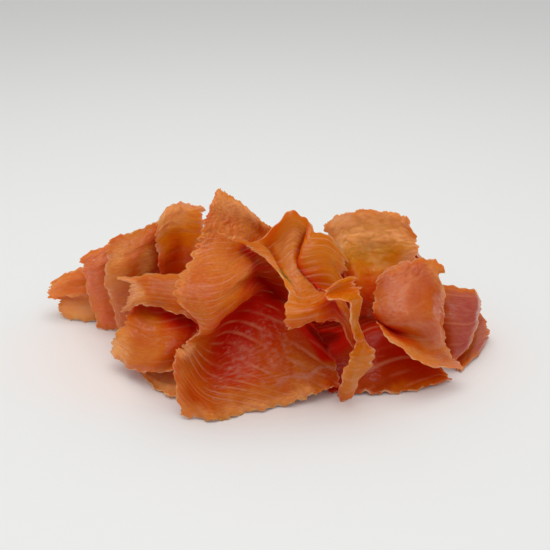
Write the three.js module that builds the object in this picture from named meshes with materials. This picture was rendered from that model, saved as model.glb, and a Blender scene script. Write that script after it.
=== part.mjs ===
// A loose heap of thin smoked salmon slices, as they fall when they are shaken out of the pack.
// Millimetres. X runs along the heap, Y from its open front to its back, Z up from the table.

import * as THREE from 'three';

// Driving dimensions of a slice.
const SLICE_THICKNESS = 1.6;
// The knife runs out at the rim, so a slice thins down over its last few millimetres.
const RIM_THICKNESS = 0.9;
const RIM_WIDTH = 4.0;
// The rim is torn: it wanders in and out by this much, about this often.
const TEAR_DEPTH = 0.7;
const TEAR_PITCH = 8.0;
// The middle of the heap's footprint, which becomes the origin.
const HEAP_MIDDLE = new THREE.Vector3(-1.7, 4.9, 0);

// Flesh colours: most is orange, the belly side pinker, thin parts amber, shaded parts deep.
const TONES = {
  orange: 0xd4672f,
  pink: 0xcf6650,
  amber: 0xd07a2c,
  deep: 0x9e3520,
};
const ROUGHNESS = 0.38;

// Each slice is a sheet drawn through a few rails. The rails stand side by side from the left
// edge of the slice to its right edge, and each runs from the top of the slice to its foot.
// cells: how many cells the sheet has along the rails and across them.
// ripple: depth of the sheet's shallow waves, and how many run along it and across it.
const SLICES = [
  {
    // The tallest slice: its torn tip stands up, the sheet bends forward into a collar,
    // turns back under it into a deep valley and runs out flat over the table.
    name: 'centre_slice',
    tone: 'orange',
    cells: [30, 17],
    ripple: [0.5, 5, 1],
    rails: [
      [
        [-17, 5, 62], [-21, -2, 54], [-24, -14, 47], [-29, -36, 41],
        [-21, -42, 34], [-24, -38, 26], [-30, -38, 19], [-28, -44, 1.2],
      ],
      [
        [-14, 5, 60], [-16, -1, 52], [-18, -14, 47], [-21, -38, 42],
        [-18, -43, 33], [-18, -25, 21], [-21, -38, 10], [-16, -47, 0.7],
      ],
      [
        [-9, 7, 56], [-9, 2, 49], [-11, -13, 44], [-14, -36, 42],
        [-14, -40, 35], [-13, -17, 23], [-8, -34, 10], [-6, -42, 0.5],
      ],
      [
        [-4, 9, 51], [-4, 6, 44], [-6, -8, 41], [-8, -25, 40],
        [-7, -26, 35], [-5, -5, 24], [4, -28, 10], [9, -37, 1.3],
      ],
      [
        [-1, 11, 47], [0, 8, 41], [-1, 1, 37], [-3, 0, 33],
        [-2, 8, 24], [3, 5, 17], [13, -24, 9], [17, -34, 2.9],
      ],
      [
        [3, 14, 43], [6, 13, 37], [8, 11, 31], [10, 11, 23],
        [11, 8, 16], [17, 0, 11], [23, -19, 8], [25, -30, 4],
      ],
    ],
  },
  {
    // Lies on the right shoulder of the tallest slice: two lobes with a pleat between them,
    // gathered below into a band that turns down over the hollow.
    name: 'folded_slice',
    tone: 'orange',
    cells: [18, 22],
    ripple: [0.3, 2, 1],
    rails: [
      [[-12, -12, 50], [-5, -8, 44], [2, -12, 40], [7, -26, 37], [6, -38, 34], [7, -36, 28]],
      [[-4, -2, 44], [1, -5, 42], [5, -14, 38.5], [10, -27, 36], [11, -38, 35], [12, -37, 30]],
      [[4, -2, 52], [4, -7, 44], [7, -16, 39], [12, -26, 36.5], [15, -37, 36], [16, -36, 31]],
      [[9, -1, 56], [9, -6, 48], [10, -13, 41], [15, -22, 36], [18, -33, 36], [19, -33, 29]],
      [[14, 1, 52], [13, -4, 44], [13, -10, 38.5], [17, -18, 34], [21, -29, 36], [22, -29, 28]],
      [[17, -2, 49], [12, -12, 44], [12, -16, 39], [17, -20, 35], [23, -27, 31], [25, -27, 25]],
      [[22, -1, 46], [20, -9, 43], [20, -14, 39], [22, -18, 32], [26, -23, 27], [27, -23, 18]],
      [[28, 1, 37], [27, -4, 35], [26, -8, 31], [27, -12, 26], [30, -16, 19], [30, -18, 11]],
    ],
  },
  {
    // A lobe that stands on edge behind the left side of the tallest slice.
    name: 'upright_slice',
    tone: 'amber',
    cells: [12, 9],
    ripple: [0.4, 2, 1],
    rails: [
      [[-40, 19, 45], [-41, 15, 39], [-40, 14, 32], [-40, 13, 20], [-38, 12, 3.6]],
      [[-36, 23, 49], [-37, 19, 42], [-36, 17, 33], [-36, 15, 20], [-36, 14, 3.6]],
      [[-31, 24, 50], [-31, 21, 42], [-31, 19, 33], [-31, 16, 19], [-32, 15, 3.6]],
      [[-23, 22, 49], [-23, 18, 42], [-23, 15, 32], [-24, 13, 20], [-25, 12, 3.6]],
    ],
  },
  {
    // Curls round a hollow to the left of the upright lobe.
    name: 'left_back_slice',
    tone: 'orange',
    cells: [12, 9],
    ripple: [0.4, 2, 1],
    rails: [
      [[-59, 24, 35], [-59, 19, 31], [-60, 15, 24], [-58, 13, 14], [-56, 12, 3.6]],
      [[-52, 26, 37], [-52, 16, 34], [-52, 11, 28], [-51, 9, 17], [-50, 8, 3.6]],
      [[-46, 28, 39], [-45, 18, 37], [-47, 13, 30], [-47, 10, 18], [-45, 9, 3.6]],
      [[-40, 30, 41], [-40, 25, 35], [-41, 22, 27], [-43, 18, 16], [-41, 15, 3.6]],
    ],
  },
  {
    // Hangs down to the table at the left end.
    name: 'pink_left_slice',
    tone: 'pink',
    cells: [10, 8],
    ripple: [0.4, 2, 1],
    rails: [
      [[-72, 30, 25], [-70, 26, 20], [-68, 23, 11], [-65, 19, 0.3]],
      [[-65, 30, 29], [-64, 24, 23], [-62, 21, 13], [-59, 17, 0.3]],
      [[-59, 31, 31], [-58, 27, 25], [-55, 21, 14], [-52, 17, 0.3]],
      [[-51, 34, 33], [-50, 31, 23], [-48, 26, 12], [-45, 22, 0.3]],
    ],
  },
  {
    // The upper of the two ragged ends that stick out at the far left.
    name: 'tail_upper_slice',
    tone: 'orange',
    cells: [6, 10],
    ripple: [0.3, 2, 1],
    rails: [
      [[-84, 36, 13], [-86, 33, 11], [-86, 28, 9]],
      [[-77, 36, 17], [-78, 32, 14], [-78, 27, 10]],
      [[-68, 35, 20], [-68, 31, 15], [-68, 27, 11]],
      [[-60, 35, 20], [-60, 32, 16], [-61, 29, 12]],
    ],
  },
  {
    // The lower ragged end, its rim on the table.
    name: 'tail_lower_slice',
    tone: 'amber',
    cells: [6, 10],
    ripple: [0.3, 2, 1],
    rails: [
      [[-84, 35, 9], [-83, 30, 5], [-81, 28, 0.7]],
      [[-77, 36, 9], [-77, 30, 6], [-74, 25, 0.7]],
      [[-68, 36, 10], [-67, 30, 5], [-65, 25, 0.7]],
      [[-59, 36, 9], [-58, 31, 5], [-58, 28, 0.7]],
    ],
  },
  {
    // Sticks out to the left like a fin, its end torn into two tips.
    name: 'fin_slice',
    tone: 'orange',
    cells: [9, 16],
    ripple: [0.4, 1, 3],
    rails: [
      [[-55, 5, 28], [-49, 0, 26], [-52, -4, 18]],
      [[-48, 4, 29], [-44, -2, 27], [-45, -6, 22]],
      [[-38, 3, 30], [-36, -4, 27], [-37, -8, 22]],
      [[-28, 2, 31], [-27, -6, 27], [-28, -13, 21]],
      [[-20, 2, 30], [-19, -6, 25], [-20, -13, 19]],
      [[-13, 5, 29], [-12, 0, 25], [-13, -4, 22]],
    ],
  },
  {
    // Drops from under the fin and bends out over the table.
    name: 'lower_left_slice',
    tone: 'orange',
    cells: [11, 9],
    ripple: [0.4, 2, 1],
    rails: [
      [[-48, 5, 20], [-50, -5, 16], [-54, -9, 11], [-55, -11, 6]],
      [[-41, 3, 20], [-41, -10, 16], [-45, -18, 11], [-49, -18, 4]],
      [[-33, 0, 19], [-33, -14, 16], [-35, -24, 13], [-41, -25, 6]],
      [[-24, -4, 17], [-25, -15, 14], [-27, -23, 11], [-32, -28, 8]],
    ],
  },
  {
    // Lies flat under the lower left slice.
    name: 'under_left_slice',
    tone: 'pink',
    cells: [12, 9],
    ripple: [0.1, 2, 1],
    rails: [
      [[-50, 6, 1.1], [-46, -4, 1.1], [-43, -11, 1.1], [-45, -15, 1.1]],
      [[-44, 20, 1.1], [-40, 6, 1.1], [-37, -10, 1.1], [-40, -24, 1.1]],
      [[-26, 22, 1.1], [-26, 8, 1.1], [-29, -12, 1.1], [-35, -30, 1.1]],
      [[-14, 18, 1.1], [-15, 3, 1.1], [-19, -14, 1.1], [-30, -34, 1.1]],
    ],
  },
  {
    // A narrow strip that curls open at the top and twists down to the table.
    name: 'ribbon_slice',
    tone: 'amber',
    cells: [20, 6],
    ripple: [0.2, 3, 1],
    rails: [
      [
        [22, -30, 42], [18, -39, 41], [26, -37, 38], [27, -35, 29],
        [29, -35, 23], [27, -37, 18], [25, -38, 13], [24, -32, 0.7],
      ],
      [
        [25, -25, 41], [23, -31, 39], [28, -32, 37], [29, -33, 28],
        [31, -34, 23], [30, -36, 17], [28, -37, 11], [25, -34, 0.7],
      ],
      [
        [29, -21, 40], [30, -23, 37], [31, -28, 36], [30, -31, 28],
        [33, -31, 21], [36, -32, 16], [32, -34, 10], [28, -34, 0.7],
      ],
    ],
  },
  {
    // A thin pale lobe that stands behind the right side.
    name: 'back_lobe_slice',
    tone: 'amber',
    cells: [12, 11],
    ripple: [0.5, 3, 1],
    rails: [
      [[20, 12, 46], [23, 9, 39], [27, 6, 31], [30, 1, 22], [31, 1, 14]],
      [[28, 16, 49], [29, 13, 41], [31, 6, 34], [33, -3, 25], [34, -2, 16]],
      [[39, 19, 49], [38, 16, 41], [37, 9, 32], [37, -3, 24], [39, -2, 16.5]],
      [[48, 17, 48], [47, 15, 41], [45, 9, 32], [42, 0, 23], [43, -1, 15]],
      [[51, 13, 48], [54, 10, 41], [54, 5, 36], [50, 2, 24], [48, 1, 14]],
    ],
  },
  {
    // A broad leaf that leans out to the right, its lower rim rolled under.
    name: 'petal_slice',
    tone: 'pink',
    cells: [14, 12],
    ripple: [0.3, 2, 1],
    rails: [
      [[38, -10, 35], [37, -14, 30], [36, -20, 27], [38, -18, 23], [37, -23, 24]],
      [[44, -5, 37], [43, -16, 33], [41, -25, 26], [43, -23, 21], [40, -29, 22]],
      [[51, -2, 38], [49, -14, 34], [47, -26, 27], [49, -24, 19], [46, -32, 18]],
      [[57, -1, 38], [56, -11, 32], [54, -22, 25], [56, -22, 15], [53, -31, 12]],
      [[62, -2, 36], [62, -8, 25], [61, -15, 17], [63, -17, 10.5], [67, -25, 7.5]],
    ],
  },
  {
    // Lies on the table under the petal and the ribbon.
    name: 'right_base_slice',
    tone: 'deep',
    cells: [11, 18],
    ripple: [0.3, 1, 3],
    rails: [
      [[-10, 30, 1.1], [-8, 14, 1.3], [-5, -2, 1.5], [2, -16, 1.1]],
      [[2, 34, 1.1], [4, 16, 2.0], [9, 0, 2.5], [13, -21, 0.9]],
      [[20, 34, 1.1], [22, 16, 4], [24, -5, 6], [23, -29, 0.7]],
      [[36, 30, 1.1], [37, 14, 8], [38, -8, 13], [37, -30, 0.7]],
      [[47, 22, 1.1], [49, 8, 6], [50, -9, 10], [50, -28, 0.7]],
      [[54, 8, 1.1], [56, -2, 4], [61, -13, 2], [64, -21, 0.7]],
    ],
  },
  {
    // Bends over at the right end, behind the petal.
    name: 'pink_right_slice',
    tone: 'pink',
    cells: [10, 8],
    ripple: [0.3, 2, 1],
    rails: [
      [[61, 6, 25], [61, 1, 19], [61, -5, 12], [63, -12, 4]],
      [[69, 8, 23], [68, 0, 19], [66, -8, 13], [65, -15, 5]],
      [[76, 10, 21], [74, 1, 17], [71, -6, 11], [67, -13, 5]],
      [[79, 12, 16], [78, 6, 14], [75, -2, 10], [72, -8, 6]],
    ],
  },
  {
    // The last slice at the right, low on the table.
    name: 'pink_end_slice',
    tone: 'deep',
    cells: [8, 7],
    ripple: [0.2, 2, 1],
    rails: [
      [[71, 10, 4], [70, 2, 2.2], [67, -14, 0.7]],
      [[76, 12, 7], [75, 4, 3], [70, -13, 0.7]],
      [[79, 13, 10], [79, 7, 5], [76, -4, 0.7]],
      [[82, 13, 7], [83, 9, 4], [82, 7, 0.7]],
    ],
  },
  {
    // Closes the left half of the back.
    name: 'back_left_slice',
    tone: 'orange',
    cells: [9, 11],
    ripple: [0.9, 1, 2],
    rails: [
      [[-66, 39, 19], [-63, 45, 12], [-66, 47, 0.3]],
      [[-56, 38, 25], [-52, 42, 18], [-54, 53, 0.3]],
      [[-43, 37, 32], [-42, 46, 21], [-43, 46, 0.3]],
      [[-33, 32, 37], [-33, 37, 24], [-32, 44, 0.3]],
    ],
  },
  {
    // Runs down the back from the tip to the table.
    name: 'back_centre_slice',
    tone: 'orange',
    cells: [13, 12],
    ripple: [1.0, 1, 2],
    rails: [
      [[-24, 27, 36], [-31, 42, 24], [-37, 50, 10], [-40, 52, 0.3]],
      [[-18, 18, 46], [-20, 36, 33], [-22, 50, 15], [-24, 56, 0.3]],
      [[-12, 15, 50], [-8, 29, 37], [-7, 42, 18], [-8, 50, 0.3]],
      [[-7, 18, 44], [1, 35, 33], [8, 49, 16], [10, 56, 0.3]],
      [[-1, 22, 37], [10, 34, 27], [20, 46, 13], [27, 54, 0.3]],
    ],
  },
  {
    // Stands in the hollow under the folded slice.
    name: 'inner_slice',
    tone: 'deep',
    cells: [9, 11],
    ripple: [0.4, 1, 2],
    rails: [
      [[-2, 18, 35], [-3, 18, 24], [-5, 15, 5]],
      [[9, 20, 37], [13, 16, 26], [13, 10, 6]],
      [[21, 21, 31], [27, 14, 24], [27, 8, 9.5]],
      [[31, 19, 25], [38, 11, 21], [38, 6, 14.5]],
    ],
  },
  {
    // Closes the right half of the back, in shallow waves.
    name: 'back_right_slice',
    tone: 'orange',
    cells: [10, 13],
    ripple: [1.0, 1, 3],
    rails: [
      [[11, 24, 40], [17, 35, 26], [19, 44, 0.3]],
      [[19, 26, 34], [28, 41, 24], [33, 50, 0.3]],
      [[31, 26, 40], [42, 35, 26], [46, 42, 0.3]],
      [[44, 26, 41], [54, 36, 24], [63, 43, 0.3]],
      [[55, 22, 35], [65, 27, 16], [75, 32, 0.3]],
    ],
  },
  {
    // Fills the right flank between the petal and the back.
    name: 'side_right_slice',
    tone: 'pink',
    cells: [7, 7],
    ripple: [0.3, 1, 2],
    rails: [
      [[55, 16, 20], [57, 15, 11], [59, 10, 0.3]],
      [[63, 18, 20], [66, 18, 12], [68, 14, 0.3]],
      [[73, 20, 12], [74, 21, 8], [77, 20, 0.3]],
    ],
  },
];

// A smooth run through a row of points, at t from 0 at the first point to 1 at the last.
function through(points, t) {
  const last = points.length - 1;
  const place = t * last;
  const start = Math.min(Math.max(Math.floor(place), 0), last - 1);
  const f = place - start;
  const b = points[start];
  const c = points[start + 1];
  const a = start > 0 ? points[start - 1] : b.clone().multiplyScalar(2).sub(c);
  const d = start + 1 < last ? points[start + 2] : c.clone().multiplyScalar(2).sub(b);
  const weigh = (axis) => {
    const linear = c[axis] - a[axis];
    const square = 2 * a[axis] - 5 * b[axis] + 4 * c[axis] - d[axis];
    const cube = 3 * b[axis] - a[axis] - 3 * c[axis] + d[axis];
    return b[axis] + 0.5 * f * (linear + f * (square + f * cube));
  };
  return new THREE.Vector3(weigh('x'), weigh('y'), weigh('z'));
}

// The sheet before it ripples: along runs from top to foot, across from left to right.
function smoothSheet(rails, along, across) {
  return through(rails.map((rail) => through(rail, along)), across);
}

// The way square to the sheet at a place.
function sheetNormal(rails, along, across) {
  const step = 0.01;
  const down = smoothSheet(rails, along + step, across).sub(smoothSheet(rails, along - step, across));
  const over = smoothSheet(rails, along, across + step).sub(smoothSheet(rails, along, across - step));
  return down.cross(over).normalize();
}

// Shallow waves of the soft sheet: one set runs along it and dies out at its ends, one across it.
function rippleHeight([depth, wavesAlong, wavesAcross], along, across) {
  const lengthways = Math.sin(2 * Math.PI * (wavesAlong * along + 0.35 * Math.sin(3 * across)));
  const sideways = Math.sin(2 * Math.PI * (wavesAcross * across + 0.3 * along) + 1);
  return depth * (lengthways * Math.sin(Math.PI * along) + sideways);
}

// How far the torn rim lies inside the straight one, at a distance along the rim.
function tearAt(distance, edge) {
  const turn = (2 * Math.PI * distance) / TEAR_PITCH;
  return TEAR_DEPTH * (0.6 * Math.sin(turn + edge) + 0.4 * Math.sin(2.3 * turn + 2 * edge));
}

// Moves a place near an edge by the tear there, and leaves the middle of the slice alone.
function tornPlace(along, across, length, width) {
  const top = tearAt(across * width, 1) * (1 - along) ** 3;
  const foot = tearAt(across * width, 2) * along ** 3;
  const left = tearAt(along * length, 3) * (1 - across) ** 3;
  const right = tearAt(along * length, 4) * across ** 3;
  return [along + (top - foot) / length, across + (left - right) / width];
}

function railLength(points) {
  const steps = points.slice(1).map((point, index) => point.distanceTo(points[index]));
  return steps.reduce((sum, step) => sum + step, 0);
}

// The leaf: the sheet thickened to both sides, with a rim of triangles that closes it.
function leafGeometry({ rails: corners, cells: [rows, columns], ripple }) {
  const rails = corners.map((rail) => rail.map((corner) => new THREE.Vector3(...corner)));
  const middleRail = rails[Math.floor(rails.length / 2)];
  const middleRow = rails.map((rail) => rail[Math.floor(rail.length / 2)]);
  const length = railLength(middleRail);
  const width = railLength(middleRow);

  const faces = [[], []];
  for (let row = 0; row <= rows; row += 1) {
    for (let column = 0; column <= columns; column += 1) {
      const toEnd = Math.min(row, rows - row) * (length / rows);
      const toSide = Math.min(column, columns - column) * (width / columns);
      const inside = Math.min(1, Math.min(toEnd, toSide) / RIM_WIDTH);
      const half = THREE.MathUtils.lerp(RIM_THICKNESS, SLICE_THICKNESS, inside) / 2;
      const [along, across] = tornPlace(row / rows, column / columns, length, width);
      const normal = sheetNormal(rails, along, across);
      const middle = smoothSheet(rails, along, across);
      middle.addScaledVector(normal, rippleHeight(ripple, along, across));
      [half, -half].forEach((offset, side) => {
        const place = middle.clone().addScaledVector(normal, offset);
        // The table presses flat what would sink into it.
        place.z = Math.max(place.z, 0);
        faces[side].push(place);
      });
    }
  }

  const positions = [...faces[0], ...faces[1]].flatMap((place) => place.toArray());
  const under = faces[0].length;
  const at = (row, column) => row * (columns + 1) + column;
  const triangles = [];
  for (let row = 0; row < rows; row += 1) {
    for (let column = 0; column < columns; column += 1) {
      const a = at(row, column);
      const b = at(row + 1, column);
      const c = at(row + 1, column + 1);
      const d = at(row, column + 1);
      triangles.push(a, b, c, a, c, d);
      triangles.push(a + under, c + under, b + under, a + under, d + under, c + under);
    }
  }
  const rim = [
    ...Array.from({ length: rows }, (_, row) => at(row, 0)),
    ...Array.from({ length: columns }, (_, column) => at(rows, column)),
    ...Array.from({ length: rows }, (_, row) => at(rows - row, columns)),
    ...Array.from({ length: columns }, (_, column) => at(0, columns - column)),
  ];
  rim.forEach((here, index) => {
    const next = rim[(index + 1) % rim.length];
    triangles.push(here, next + under, next, here, here + under, next + under);
  });

  const geometry = new THREE.BufferGeometry();
  geometry.setAttribute('position', new THREE.Float32BufferAttribute(positions, 3));
  geometry.setIndex(triangles);
  geometry.computeVertexNormals();
  return geometry;
}

function sliceMesh(slice) {
  const material = new THREE.MeshStandardMaterial({
    color: TONES[slice.tone],
    roughness: ROUGHNESS,
    metalness: 0,
  });
  const mesh = new THREE.Mesh(leafGeometry(slice), material);
  mesh.name = slice.name;
  mesh.position.copy(HEAP_MIDDLE).negate();
  return mesh;
}

const heap = new THREE.Group();
heap.name = 'smoked_salmon_slices';
SLICES.forEach((slice) => heap.add(sliceMesh(slice)));

export default heap;
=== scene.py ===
"""A loose heap of thin smoked salmon slices, in metres, X along the heap and Z up."""

import math
from types import SimpleNamespace

import bmesh
import bpy
import numpy as np
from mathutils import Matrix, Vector, noise
from mathutils.bvhtree import BVHTree


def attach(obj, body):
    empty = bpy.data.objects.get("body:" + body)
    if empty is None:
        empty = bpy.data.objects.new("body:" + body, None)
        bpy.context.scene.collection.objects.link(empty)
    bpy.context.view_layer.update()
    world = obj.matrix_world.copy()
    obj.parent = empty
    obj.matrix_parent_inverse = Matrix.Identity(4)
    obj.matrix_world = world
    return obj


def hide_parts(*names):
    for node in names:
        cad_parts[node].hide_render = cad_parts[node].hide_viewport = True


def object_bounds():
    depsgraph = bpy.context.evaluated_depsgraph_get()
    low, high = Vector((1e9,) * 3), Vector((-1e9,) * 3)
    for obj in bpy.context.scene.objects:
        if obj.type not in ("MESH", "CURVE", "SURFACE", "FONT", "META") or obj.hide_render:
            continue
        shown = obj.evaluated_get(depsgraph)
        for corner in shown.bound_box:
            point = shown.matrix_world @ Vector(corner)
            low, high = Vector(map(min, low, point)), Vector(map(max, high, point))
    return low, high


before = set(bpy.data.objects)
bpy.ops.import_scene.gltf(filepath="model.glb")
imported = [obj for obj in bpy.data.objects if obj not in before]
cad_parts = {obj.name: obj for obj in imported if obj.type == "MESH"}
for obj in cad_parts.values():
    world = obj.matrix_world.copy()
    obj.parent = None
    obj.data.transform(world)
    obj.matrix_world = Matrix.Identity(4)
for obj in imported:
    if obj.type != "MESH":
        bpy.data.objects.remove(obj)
cad_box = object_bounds()


# ---------------------------------------------------------------------------------------
# The centre slice: cold-smoked salmon, cut 1.5 mm thick on the slant across the fillet.
# Its torn tip stands up, it bends forward into a collar, turns back into a deep valley and
# runs out over the table. It only rests on the slices round it.

MM = 0.001
FULL_TURN = 2 * math.pi
# How fine the mesh of a slice is.
CELL = 0.42
# The heap's middle on the table, as the rails have it.
HEAP_MIDDLE = np.array([-1.7, 4.9, 0.0])
# No torn tip reaches past the box of the frame.
BOX_SLACK = 1e-5
heap_box = np.array([list(corner) for corner in cad_box]) + [[BOX_SLACK], [-BOX_SLACK]]
heap_box[0, 2] = 0


def spline_shares(count, places):
    """The share of each of count points, and one past each end, in a smooth run through them."""
    start = np.clip(np.floor(places * (count - 1)), 0, count - 2).astype(int)
    f = places * (count - 1) - start
    four = [-f + 2 * f**2 - f**3, 2 - 5 * f**2 + 3 * f**3, f + 4 * f**2 - 3 * f**3, f**3 - f**2]
    shares = np.zeros((len(places), count + 2))
    np.put_along_axis(shares, start[:, None] + np.arange(4), 0.5 * np.stack(four, axis=1), axis=1)
    return shares


def with_ends(points):
    """The points with one more straight on past each end."""
    return np.concatenate([2 * points[:1] - points[1:2], points, 2 * points[-1:] - points[-2:-1]])


def sheet_at(rails, along, across):
    """Places on the smooth sheet through the rails, along from top to foot, across to the right."""
    net = with_ends(with_ends(rails).swapaxes(0, 1)).swapaxes(0, 1)
    over = spline_shares(rails.shape[0], across)
    down = spline_shares(rails.shape[1], along)
    return np.einsum("pi,pj,ijk->pk", over, down, net, optimize=True)


def sheet_normals(rails, along, across):
    """The way square to the sheet, of length 1."""
    step = 0.01
    down = sheet_at(rails, along + step, across) - sheet_at(rails, along - step, across)
    over = sheet_at(rails, along, across + step) - sheet_at(rails, along, across - step)
    square = np.cross(down, over)
    return square / np.linalg.norm(square, axis=1)[:, None]


def line_length(points):
    """How long the line through the points is."""
    return np.linalg.norm(np.diff(points, axis=0), axis=1).sum()


def rough(x, y, size, seed):
    """Smooth noise from -1 to 1 whose lumps are about as wide as size."""
    return np.array([noise.noise((a, b, seed)) for a, b in zip(x / size, y / size)])


def layered(x, y, layers, seed):
    """The sum of layers of smooth noise: how high each is, how wide its lumps are, and which."""
    return sum(height * rough(x, y, size, seed + which) for height, size, which in layers)


TOP, FOOT, LEFT, RIGHT = 1, 2, 3, 4
# The rim wanders in and out this far about this often.
WANDER_DEPTH = 0.7
WANDER_PITCH = 8.0
# It is torn into teeth of three sizes, the finest of them the deepest.
TEETH_DEPTH = 0.9
TEETH = ((0.5, 3.7, 0), (0.8, 1.7, 60), (2.2, 0.9, 40))
# Some stretches of a rim, about this long, are torn far more than others.
STRETCH = 11.0
MOST_RAGGED = 1.2
# How far apart the four edges lie in the noise of the teeth.
EDGE_SHIFT = 5.3
# A bite is a notch with slightly hollow sides.
BITE_CURVE = 0.8


def torn_edge(distance, edge, tear, bites, seed):
    """How far the torn rim lies inside the straight one, at distances along the rim."""
    turn = FULL_TURN * distance / WANDER_PITCH
    wander = WANDER_DEPTH * (0.6 * np.sin(turn + edge) + 0.4 * np.sin(2.3 * turn + 2 * edge))
    row = np.full_like(distance, EDGE_SHIFT * edge)
    least_ragged = 0.05 + 0.3 * min(tear, 1.5)
    ragged = 0.35 + 2.4 * rough(distance, row, STRETCH, seed + 20)
    ragged = np.clip(ragged, least_ragged, MOST_RAGGED)
    teeth = TEETH_DEPTH * tear * ragged * np.abs(layered(distance, row, TEETH, seed))
    for bite_edge, middle, half_width, depth in bites:
        if bite_edge == edge:
            notch = np.clip(1 - np.abs(distance - middle) / half_width, 0, 1) ** BITE_CURVE
            teeth = teeth + depth * notch
    return wander + teeth


def double_sheet(name, length, width):
    """A flat sheet of cells with two faces, and where its corners lie as shares across and along."""
    bm = bmesh.new()
    corner = bm.verts.layers.int.new("corner")
    side = bm.verts.layers.int.new("side")
    rows, columns = math.ceil(length / CELL), math.ceil(width / CELL)
    bmesh.ops.create_grid(bm, x_segments=columns, y_segments=rows, size=0.5)
    flat = np.array([vert.co[:2] for vert in bm.verts]) + 0.5
    for index, vert in enumerate(bm.verts):
        vert[corner] = index
    made = bmesh.ops.extrude_face_region(bm, geom=bm.faces[:])["geom"]
    for vert in (item for item in made if isinstance(item, bmesh.types.BMVert)):
        vert[side] = 1
    bmesh.ops.recalc_face_normals(bm, faces=bm.faces[:])
    for face in bm.faces:
        face.smooth = True
    mesh = bpy.data.meshes.new(name)
    bm.to_mesh(mesh)
    bm.free()
    return mesh, flat[:, 0], flat[:, 1]


def take_marks(mesh, mark):
    """The whole number that each vertex carries under a mark, which comes off the mesh."""
    marks = np.zeros(len(mesh.vertices), np.int32)
    mesh.attributes[mark].data.foreach_get("value", marks)
    mesh.attributes.remove(mesh.attributes[mark])
    return marks


def set_marks(mesh, mark, values):
    """Notes a number or a place at each vertex, for the flesh to read."""
    kind, field = ("FLOAT", "value") if values.ndim == 1 else ("FLOAT_VECTOR", "vector")
    data = mesh.attributes.new(mark, kind, "POINT").data
    data.foreach_set(field, values.astype(np.float32).ravel())


# How quickly the shift of a torn rim dies away behind it.
TEAR_FADE = 4
# The borders of a slice's patches stray by this much, in lumps this wide.
PATCH_STRAY = 2.5
STRAY_SIZE = 7.0


def torn_sheet(length, width, across, along, tears, bites, seed):
    """Where each corner of the flat slice lies once its rim is torn.

    across and along are shares of the slice, and u and v the same in millimetres.
    """
    u, v = across * width, along * length
    rim = np.minimum(np.minimum(v, length - v), np.minimum(u, width - u))
    # Tears shift the rim, and the cells behind it make room.
    top = torn_edge(u, TOP, tears[0], bites, seed) * (1 - along) ** TEAR_FADE
    foot = torn_edge(u, FOOT, tears[1], bites, seed) * along**TEAR_FADE
    left = torn_edge(v, LEFT, tears[2], bites, seed) * (1 - across) ** TEAR_FADE
    right = torn_edge(v, RIGHT, tears[3], bites, seed) * across**TEAR_FADE
    along = along + (top - foot) / length
    across = across + (left - right) / width
    u, v = across * width, along * length
    stray_u = u + PATCH_STRAY * rough(u, v, STRAY_SIZE, seed + 7)
    stray_v = v + PATCH_STRAY * rough(u, v, STRAY_SIZE, seed + 8)
    return SimpleNamespace(
        length=length, width=width, across=across, along=along,
        u=u, v=v, rim=rim, stray_u=stray_u, stray_v=stray_v,
    )


# A patch fades out between 0.3 and 1.3 times its half width and half length.
PATCH_EDGE = 1.3


def patched(flat, patches):
    """The sum of soft patches: where across and along, half width and half length, amount."""
    total = np.zeros(len(flat.u))
    for across, along, half_width, half_length, amount in patches:
        sideways = (flat.stray_u - across * flat.width) / half_width
        lengthways = (flat.stray_v - along * flat.length) / half_length
        total += amount * np.clip(PATCH_EDGE - np.hypot(sideways, lengthways), 0, 1)
    return total


# Fat lines stray by this much over this long.
LINE_STRAY = 1.8
LINE_STRAY_SIZE = 20.0


def fat_line_count(flat, lines, seed):
    """How many fat lines lie between a place and the slice's top."""
    pitch, slope_top, slope_foot, bend = lines
    from_middle = flat.u - flat.width / 2
    slope = slope_top + (slope_foot - slope_top) * flat.v / flat.length
    sweep = slope * from_middle + bend * from_middle**2 / flat.width
    stray = LINE_STRAY * rough(flat.u, flat.v, LINE_STRAY_SIZE, seed)
    return (flat.v + sweep + stray) / pitch


def ripples(ripple, along, across):
    """Shallow waves of the soft sheet, a bent set along it and a slanting one across it."""
    depth, waves_along, waves_across = ripple
    bend, slant, start = 0.35, 0.3, 1
    lengthways = np.sin(FULL_TURN * (waves_along * along + bend * np.sin(3 * across)))
    sideways = np.sin(FULL_TURN * (waves_across * across + slant * along) + start)
    return depth * (lengthways * np.sin(np.pi * along) + sideways)


# Dents of the soft sheet, from broad to narrow.
DENTS = ((0.34, 9.0, 1), (0.15, 4.0, 2), (0.04, 1.5, 4))
# A frill reaches in from the rim by this much, in waves this long.
FRILL_REACH = 3.0
FRILL_SIZE = 3.6
# Wrinkles are of two sizes: long ones, and small ones that are not so deep.
WRINKLE_SIZE = 2.6
WRINKLE_STRETCH = 0.7
SMALL_WRINKLE_SIZE = 1.2
SMALL_WRINKLE_SHARE = 0.6
# Folds stray by this share of the slice's width, over this long.
FOLD_STRAY = 0.02
FOLD_STRAY_SIZE = 9.0
# A ledge is uneven, drops sharply at the edge of a flake and runs out gently below it.
LEDGE_STRAY = ((2.2, 11.0, 9), (0.8, 2.5, 10))
LEDGE_LIP = 0.6
LEDGE_SLOPE = 5.0


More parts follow.
